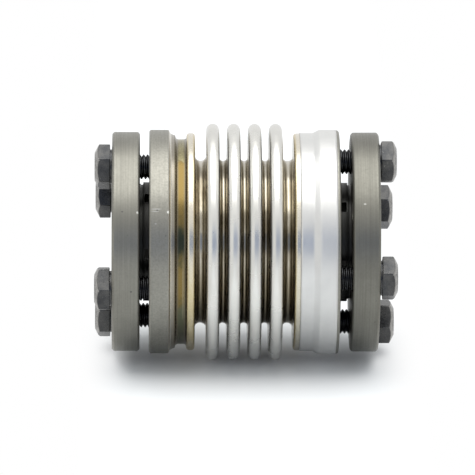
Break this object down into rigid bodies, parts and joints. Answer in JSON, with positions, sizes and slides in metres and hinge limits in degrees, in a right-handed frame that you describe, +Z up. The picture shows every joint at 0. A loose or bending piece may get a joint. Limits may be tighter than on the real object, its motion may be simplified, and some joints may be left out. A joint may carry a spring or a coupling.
{
  "type": "metal bellows coupling",
  "caption": "Metal bellows coupling joining two shafts: a corrugated steel sleeve welded between flanged hubs, each gripping its shaft by a slotted conical bush and hexagon screws.",
  "frame": {"origin": "on the shaft axis, at the middle of the bellows", "axes": "+X along the shaft axis, towards the labelled hub; -Y is the front, +Z is up as the coupling lies in the picture"},
  "size_m": [0.0609, 0.048, 0.048],
  "materials": {
    "bellows_steel": "satin stainless, tinted gold by the weld heat",
    "hub_steel": "fine turned steel",
    "clamp_steel": "fine turned steel",
    "black_oxide": "black oxide",
    "label_foil": "satin foil"
  },
  "bodies": {
    "root": {"bellows": "bellows_steel", "left_hub": "hub_steel", "right_hub": "hub_steel", "left_clamp_bush": "clamp_steel", "right_clamp_bush": "clamp_steel", "label": "label_foil", "left_clamp_screw_1": "black_oxide", "left_clamp_screw_2": "black_oxide", "left_clamp_screw_3": "black_oxide", "left_clamp_screw_4": "black_oxide", "right_clamp_screw_1": "black_oxide", "right_clamp_screw_2": "black_oxide", "right_clamp_screw_3": "black_oxide", "right_clamp_screw_4": "black_oxide"}
  },
  "joints": []
}
